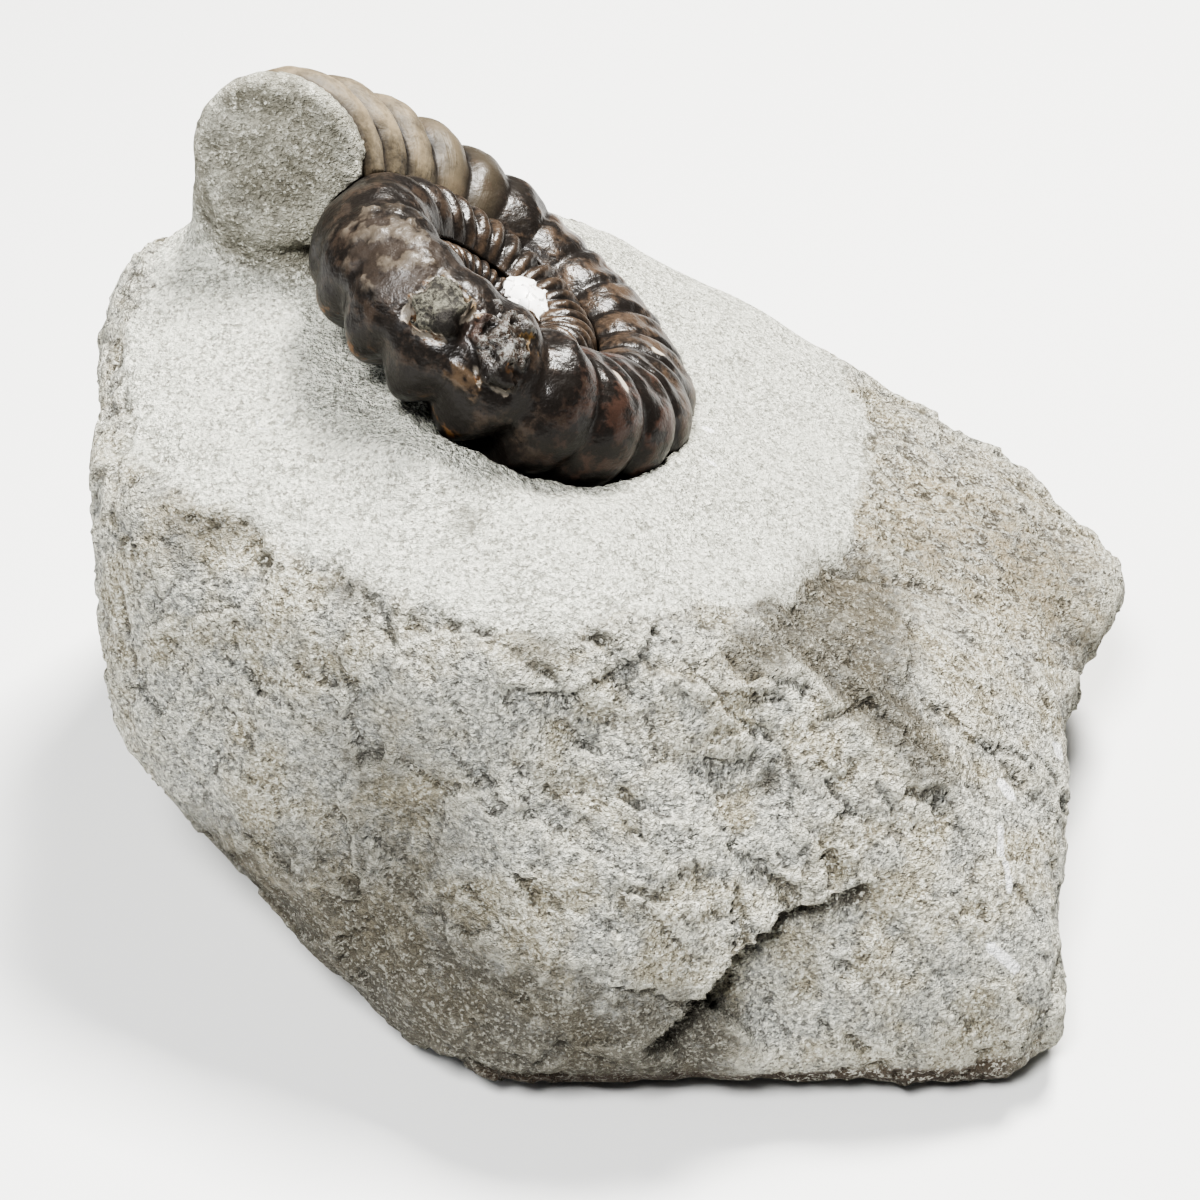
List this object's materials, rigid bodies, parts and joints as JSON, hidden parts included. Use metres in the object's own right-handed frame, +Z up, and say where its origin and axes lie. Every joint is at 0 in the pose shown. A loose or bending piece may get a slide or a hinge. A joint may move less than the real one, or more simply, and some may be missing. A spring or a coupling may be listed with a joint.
{
  "type": "fossil ammonite in a limestone nodule",
  "caption": "Coiled, ribbed fossil ammonite that stands proud of half a rough grey limestone nodule, with white calcite in its middle; it rests on the nodule's flat break.",
  "frame": {"origin": "on the nodule's flat break at its base, near the middle", "axes": "+Z up from the base; -Y towards the broken front of the nodule; +X towards the side that the coil leans down to"},
  "size_m": [0.0942, 0.0898, 0.0631],
  "materials": {
    "matrix_nodule": "rough broken grey limestone, paler and finer where it was cleaned with abrasive",
    "ammonite_shell": "glossy brown-black mineralised shell",
    "calcite_core": "white crystalline calcite"
  },
  "bodies": {
    "root": {"matrix_nodule": "matrix_nodule", "ammonite_shell": "ammonite_shell", "calcite_core": "calcite_core"}
  },
  "joints": []
}
